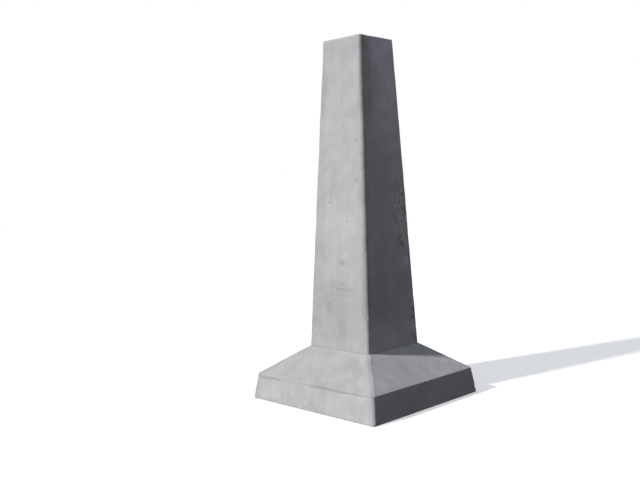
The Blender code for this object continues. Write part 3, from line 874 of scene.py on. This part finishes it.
def plastic_material(name, dark, light, rough):
    """Moulded plastic with a fine grain, scuffed paler and duller in places."""
    t = Tree(name)
    scuffs = t.step(t.noise(1.0, 4.0, 0.6, t.stretched((900.0, 240.0, 500.0))), 0.56, 0.72, 0.0, 0.6)
    dust = t.math("MULTIPLY", t.step(t.noise(110.0, 4.0), 0.42, 0.72), 0.35)
    colour = t.mix(t.math("MAXIMUM", scuffs, dust), dark, light)
    shine = t.math("ADD", rough, t.math("MULTIPLY", dust, 0.6))
    return t.finish(colour, shine, 0.0, t.bump(t.noise(1600.0, 2.0), 0.00008, 0.5))


# Socket and plug


def turned_rings(bm, profile):
    """A ring of vertices for each (radius, z) of a turned profile. The first is at -45 degrees."""
    rings = []
    for radius, z in profile:
        ring = []
        for k in range(TURNED_STEPS):
            angle = 2 * pi * k / TURNED_STEPS - pi / 4
            ring.append(bm.verts.new((radius * cos(angle), radius * sin(angle), z)))
        rings.append(ring)
    return rings


def join_rings(bm, rings):
    for ring, following in zip(rings, rings[1:]):
        for k in range(len(ring)):
            j = (k + 1) % len(ring)
            bm.faces.new((ring[k], ring[j], following[j], following[k]))


def round_piece(name, bm):
    """The finished mesh of a turned piece, smooth but for its sharp edges. It frees the faces."""
    bmesh.ops.recalc_face_normals(bm, faces=bm.faces)
    mesh = bpy.data.meshes.new(name)
    bm.to_mesh(mesh)
    bm.free()
    mesh.shade_smooth()
    mesh.set_sharp_from_angle(angle=TURNED_SHARP)
    return mesh


def cap_height(radius):
    """Height of the plug's crowned top above its seat."""
    return PLUG_CAP_THICKNESS - PLUG_CAP_CROWN * (radius / PLUG_CAP_RADIUS) ** 2


def slot_ring(bm, shrink, drop):
    """The coin slot's outline, shrunk all round and dropped below the cap's top."""
    straight = (SLOT_LENGTH - SLOT_WIDTH) / 2
    radius = SLOT_WIDTH / 2 - shrink
    ring = []
    for side in range(4):
        for i in range(SLOT_STEPS):
            share = i / SLOT_STEPS
            if side % 2:
                x, y = straight * (1 - 2 * share), radius
            else:
                angle = pi * (share - 0.5)
                x, y = straight + radius * cos(angle), radius * sin(angle)
            if side > 1:
                x, y = -x, -y
            height = cap_height((x * x + y * y) ** 0.5) - drop
            ring.append(bm.verts.new((x, y, PLUG_SEAT_Z + height)))
    return ring


def cap_top_rings(bm):
    """From the slot's floor up its walls and out over the crowned top, in rings of equal count."""
    floor = slot_ring(bm, 2 * SLOT_EDGE, SLOT_DEPTH)
    walls = [slot_ring(bm, SLOT_EDGE, SLOT_DEPTH - SLOT_EDGE), slot_ring(bm, SLOT_EDGE, SLOT_EDGE)]
    mouth = slot_ring(bm, 0.0, 0.0)
    bm.faces.new(floor)
    rings = [floor, *walls, mouth]
    reach = PLUG_CAP_RADIUS - PLUG_EDGE_ROUNDING
    for share in (0.25, 0.5, 0.75, 1.0):
        ring = []
        for k, vertex in enumerate(mouth):
            angle = 2 * pi * k / TURNED_STEPS - pi / 4
            place = vertex.co.lerp(Vector((reach * cos(angle), reach * sin(angle), 0)), share)
            place.z = PLUG_SEAT_Z + cap_height(place.to_2d().length)
            ring.append(bm.verts.new(place))
        rings.append(ring)
    return rings


def plug_profile():
    """(radius, z above the seat) from the cap's rounded edge down to the shank's tip."""
    radius, edge = PLUG_CAP_RADIUS, PLUG_EDGE_ROUNDING
    top = cap_height(radius)
    profile = []
    for i in range(1, 6):
        angle = pi / 2 * (1 - i / 5)
        profile.append((radius - edge + edge * cos(angle), top - edge + edge * sin(angle)))
    lip, bead = PLUG_LIP, PLUG_BEAD
    profile += [(radius, lip), (radius - lip, 0.0), (radius - bead, 0.0), (radius - bead - lip, lip)]
    profile += [(PLUG_SHANK_RADIUS + 2 * lip, lip), (PLUG_SHANK_RADIUS, -lip)]
    pitch = PLUG_SHANK_LENGTH / (PLUG_FINS + 1)
    for number in reversed(range(PLUG_FINS)):
        low = (number + 0.5) * pitch - PLUG_SHANK_LENGTH
        peak = low + pitch / 2
        profile += [(PLUG_SHANK_RADIUS, peak + lip), (PLUG_FIN_RADIUS - lip / 2, peak + lip / 4)]
        profile += [(PLUG_FIN_RADIUS, peak), (PLUG_FIN_RADIUS - lip / 2, peak - lip)]
        profile += [(PLUG_SHANK_RADIUS + lip, low + lip), (PLUG_SHANK_RADIUS, low)]
    end = -PLUG_SHANK_LENGTH
    return profile + [(PLUG_SHANK_RADIUS, end + bead), (PLUG_SHANK_RADIUS - lip, end + lip / 2),
                      (PLUG_SHANK_RADIUS - 2 * lip, end)]


def plug_mesh():
    """The push-in plug: a crowned cap with a coin slot, and a shank with fins."""
    bm = bmesh.new()
    outside = turned_rings(bm, [(radius, PLUG_SEAT_Z + z) for radius, z in plug_profile()])
    join_rings(bm, cap_top_rings(bm) + outside)
    bm.faces.new(outside[-1])
    return round_piece("plug", bm)


def thread_radius(share, z):
    """Radius of the thread's wall. A chamfer cuts its crests at the mouth, and it fades out at its foot."""
    depth = THREAD_ROOT_RADIUS - THREAD_CREST_RADIUS
    fade = min(1.0, max(0.0, (z - BORE_END_Z - 3 * THREAD_PITCH) / THREAD_PITCH))
    chamfer = THREAD_ROOT_RADIUS - (SOCKET_TOP_Z - z)
    return max(THREAD_CREST_RADIUS + depth * share * fade, chamfer)


def threaded_wall(bm, low, high):
    """The thread between two rings, as one winding surface: each turn's end is the next one's start."""
    foot = low[0].co.z + THREAD_PITCH / 4
    turns = int((high[0].co.z - foot) / THREAD_PITCH) - 1
    rows = [(turn + share, deep) for turn in range(turns) for share, deep in THREAD_SHAPE] + [(turns, 0)]
    columns = []
    for k in range(TURNED_STEPS):
        angle = 2 * pi * k / TURNED_STEPS - pi / 4
        column = []
        for turn, deep in rows:
            z = foot + THREAD_PITCH * (turn + k / TURNED_STEPS)
            radius = thread_radius(deep, z)
            column.append(bm.verts.new((radius * cos(angle), radius * sin(angle), z)))
        columns.append(column)
    turn = len(THREAD_SHAPE)
    for k in range(TURNED_STEPS - 1):
        here, there = columns[k], columns[k + 1]
        bm.faces.new((low[k], low[k + 1], there[0], here[0]))
        for row in range(len(rows) - 1):
            bm.faces.new((here[row], there[row], there[row + 1], here[row + 1]))
        bm.faces.new((here[-1], there[-1], high[k + 1], high[k]))
    first, last = columns[0], columns[-1]
    bm.faces.new((low[-1], low[0], *first[:turn + 1], last[0]))
    for row in range(len(rows) - 1 - turn):
        bm.faces.new((last[row], first[row + turn], first[row + turn + 1], last[row + 1]))
    bm.faces.new((*reversed(last[-turn - 1:]), first[-1], high[0], high[-1]))


def socket_mesh():
    """The cast-in socket: a blind steel tube with a real thread. The cross hole for its anchor bar is cut
    by cut_bar_hole.
    """
    bm = bmesh.new()
    drill_point = THREAD_CREST_RADIUS / 2
    edge = SOCKET_RADIUS - SOCKET_CHAMFER
    inside = turned_rings(bm, [
        (DRILL_TIP, BORE_END_Z),
        (THREAD_CREST_RADIUS, BORE_END_Z + drill_point),
    ])
    outside = turned_rings(bm, [
        (THREAD_ROOT_RADIUS, SOCKET_TOP_Z),
        (edge, SOCKET_TOP_Z),
        (SOCKET_RADIUS, SOCKET_TOP_Z - SOCKET_CHAMFER),
        (SOCKET_RADIUS, SOCKET_END_Z + SOCKET_CHAMFER),
        (edge, SOCKET_END_Z),
    ])
    bm.faces.new(inside[0])
    join_rings(bm, inside)
    threaded_wall(bm, inside[-1], outside[0])
    join_rings(bm, outside)
    bm.faces.new(outside[-1])
    return round_piece("socket", bm)


def cut_bar_hole(socket):
    """Bores the anchor bar's hole across the socket's closed end."""
    bm = bmesh.new()
    across = Matrix.Translation((0, 0, BAR_HOLE_Z)) @ Matrix.Rotation(pi / 2, 4, "Y")
    bmesh.ops.create_cone(
        bm,
        cap_ends=True,
        segments=BAR_HOLE_STEPS,
        radius1=BAR_HOLE_RADIUS,
        radius2=BAR_HOLE_RADIUS,
        depth=4 * SOCKET_RADIUS,
        matrix=across,
    )
    drill = add("drill", round_piece("drill", bm), socket.data.materials[0])
    cut = socket.modifiers.new("bar_hole", "BOOLEAN")
    cut.operation = "DIFFERENCE"
    cut.object = drill
    bpy.context.view_layer.update()
    evaluated = socket.evaluated_get(bpy.context.evaluated_depsgraph_get())
    bored = bpy.data.meshes.new_from_object(evaluated)
    socket.modifiers.clear()
    socket.data = bored
    bpy.data.objects.remove(drill)


# Pieces


def put(piece, body, slot, *nodes):
    """Says what a new piece rides on, and hides the CAD nodes it stands for. The slot is not used."""
    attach(piece, body)
    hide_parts(*nodes)


def refinish(material, slot):
    """Gives every CAD node of the slot this material."""
    for part in frame["record"]["subparts"]:
        if part["material_slot"] == slot:
            mesh = frame["nodes"][part["node"]].data
            mesh.materials.clear()
            mesh.materials.append(material)


def make_pieces():
    refinish(rebar_material(), "rebar_steel")
    grey_plastic = plastic_material("spacer_plastic", SPACER_GREY, SPACER_SCUFFED, SPACER_ROUGHNESS)
    refinish(grey_plastic, "spacer_plastic")
    pillar = add("pillar_concrete", concrete_mesh(), concrete_material())
    put(pillar, "pillar", "concrete", "concrete_pillar")
    socket = add("socket_with_thread", socket_mesh(), zinc_material())
    cut_bar_hole(socket)
    put(socket, "pillar", "zinc_plated_steel", "threaded_socket")
    black_plastic = plastic_material("plug_plastic", PLUG_BLACK, PLUG_SCUFFED, PLUG_ROUGHNESS)
    plug = add("plug_with_slot", plug_mesh(), black_plastic)
    put(plug, "plug", "plug_plastic", "socket_plug")


# Stage


def make_floor():
    """A white sweep that glows a little, so that the shadow on it stays pale."""
    t = Tree("floor")
    t.put(t.shader.inputs["Emission Color"], (1.0, 1.0, 1.0, 1.0))
    t.put(t.shader.inputs["Emission Strength"], FLOOR_GLOW)
    unevenness = t.step(t.noise(3.0, 2.0), 0.2, 0.8, 0.99, 1.01)
    material = t.finish(t.shade(FLOOR_GREY, unevenness), 0.9)
    bm = bmesh.new()
    bmesh.ops.create_grid(bm, x_segments=8, y_segments=8, size=FLOOR_HALF)
    mesh = bpy.data.meshes.new("floor")
    bm.to_mesh(mesh)
    bm.free()
    floor = add("floor", mesh, material)
    floor.location.z = FLOOR_Z
    floor.visible_diffuse = False


def make_world():
    """Soft fill that fades from one side of the sky to the other. The camera sees plain white."""
    world = bpy.data.worlds.new("studio")
    bpy.context.scene.world = world
    world.use_nodes = True
    nodes, links = world.node_tree.nodes, world.node_tree.links
    facing = nodes.new("ShaderNodeVectorMath")
    facing.operation = "DOT_PRODUCT"
    facing.inputs[1].default_value = Vector(TOWARDS_FILL).normalized()
    links.new(nodes.new("ShaderNodeTexCoord").outputs["Generated"], facing.inputs[0])
    share = nodes.new("ShaderNodeMapRange")
    share.inputs["From Min"].default_value = -1.0
    links.new(facing.outputs["Value"], share.inputs["Value"])
    seen = nodes.new("ShaderNodeLightPath").outputs["Is Camera Ray"]
    fill = colour_mix(nodes, links, share.outputs["Result"], (*FILL_DIM, 1.0), (*FILL_BRIGHT, 1.0))
    shown = colour_mix(nodes, links, seen, fill, (1.0, 1.0, 1.0, 1.0))
    links.new(shown, nodes["Background"].inputs["Color"])


def make_key():
    """The one strong light, broad enough for a soft-edged shadow."""
    light = bpy.data.lights.new("key", "SUN")
    light.energy = KEY_STRENGTH
    light.angle = KEY_WIDTH
    light.color = KEY_COLOUR
    key = bpy.data.objects.new("key", light)
    key.rotation_euler = Vector(TOWARDS_KEY).to_track_quat("Z", "Y").to_euler()
    bpy.context.scene.collection.objects.link(key)


def make_panel():
    """A small cool panel that lifts the head of the shaded face."""
    light = bpy.data.lights.new("panel", "AREA")
    light.size = PANEL_SIZE
    light.energy = PANEL_POWER
    light.color = PANEL_COLOUR
    panel = bpy.data.objects.new("panel", light)
    panel.location = PANEL_PLACE
    away = Vector(PANEL_PLACE) - Vector(PANEL_TARGET)
    panel.rotation_euler = away.to_track_quat("Z", "Y").to_euler()
    panel.visible_camera = False
    bpy.context.scene.collection.objects.link(panel)


def make_camera():
    lens = bpy.data.cameras.new("camera")
    lens.lens = CAMERA_LENS
    camera = bpy.data.objects.new("camera", lens)
    ahead = (Vector(CAMERA_TARGET) - Vector(CAMERA_PLACE)).normalized()
    level = ahead.to_track_quat("-Z", "Y").to_matrix()
    camera.matrix_world = (level @ Matrix.Rotation(CAMERA_ROLL, 3, "Z")).to_4x4()
    camera.location = CAMERA_PLACE
    bpy.context.scene.collection.objects.link(camera)
    bpy.context.scene.camera = camera


bpy.context.scene.view_settings.view_transform = "Standard"
make_pieces()
make_floor()
make_world()
make_key()
make_panel()
make_camera()
